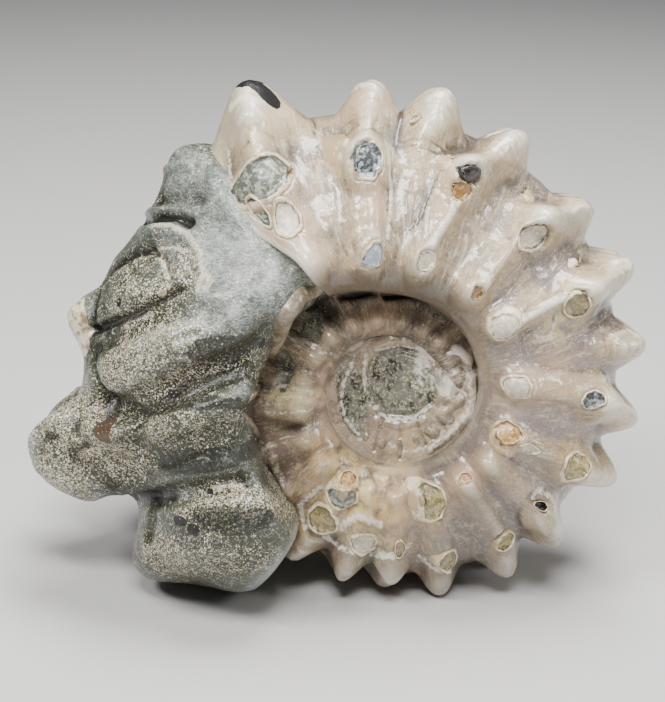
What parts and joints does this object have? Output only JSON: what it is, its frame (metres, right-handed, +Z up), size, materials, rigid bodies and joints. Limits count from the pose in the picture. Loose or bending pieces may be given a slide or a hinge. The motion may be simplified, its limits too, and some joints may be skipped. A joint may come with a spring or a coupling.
{
  "type": "ammonite fossil",
  "caption": "Polished ammonite fossil with a knobbed, ribbed shell and a stone cast of the living chamber, standing on small ground flats as a shelf ornament or teaching specimen",
  "frame": {"origin": "centre of the bounding box in X and Y, on the ground plane in Z", "axes": "X runs along the coil from the broken stone end to the ribbed back, Y from the viewer through the coil, Z up. The coil leans back 12 degrees on its ground flats, and the viewer is on the -Y side"},
  "size_m": [0.1269, 0.0734, 0.1068],
  "materials": {
    "polished_fossil": "polished",
    "nacre_shell": "polished, pearly",
    "cast_stone": "polished, sandy grain",
    "mineral_crust": "matt, chalky"
  },
  "bodies": {
    "root": {"ammonite_fossil": "polished_fossil"}
  },
  "joints": []
}
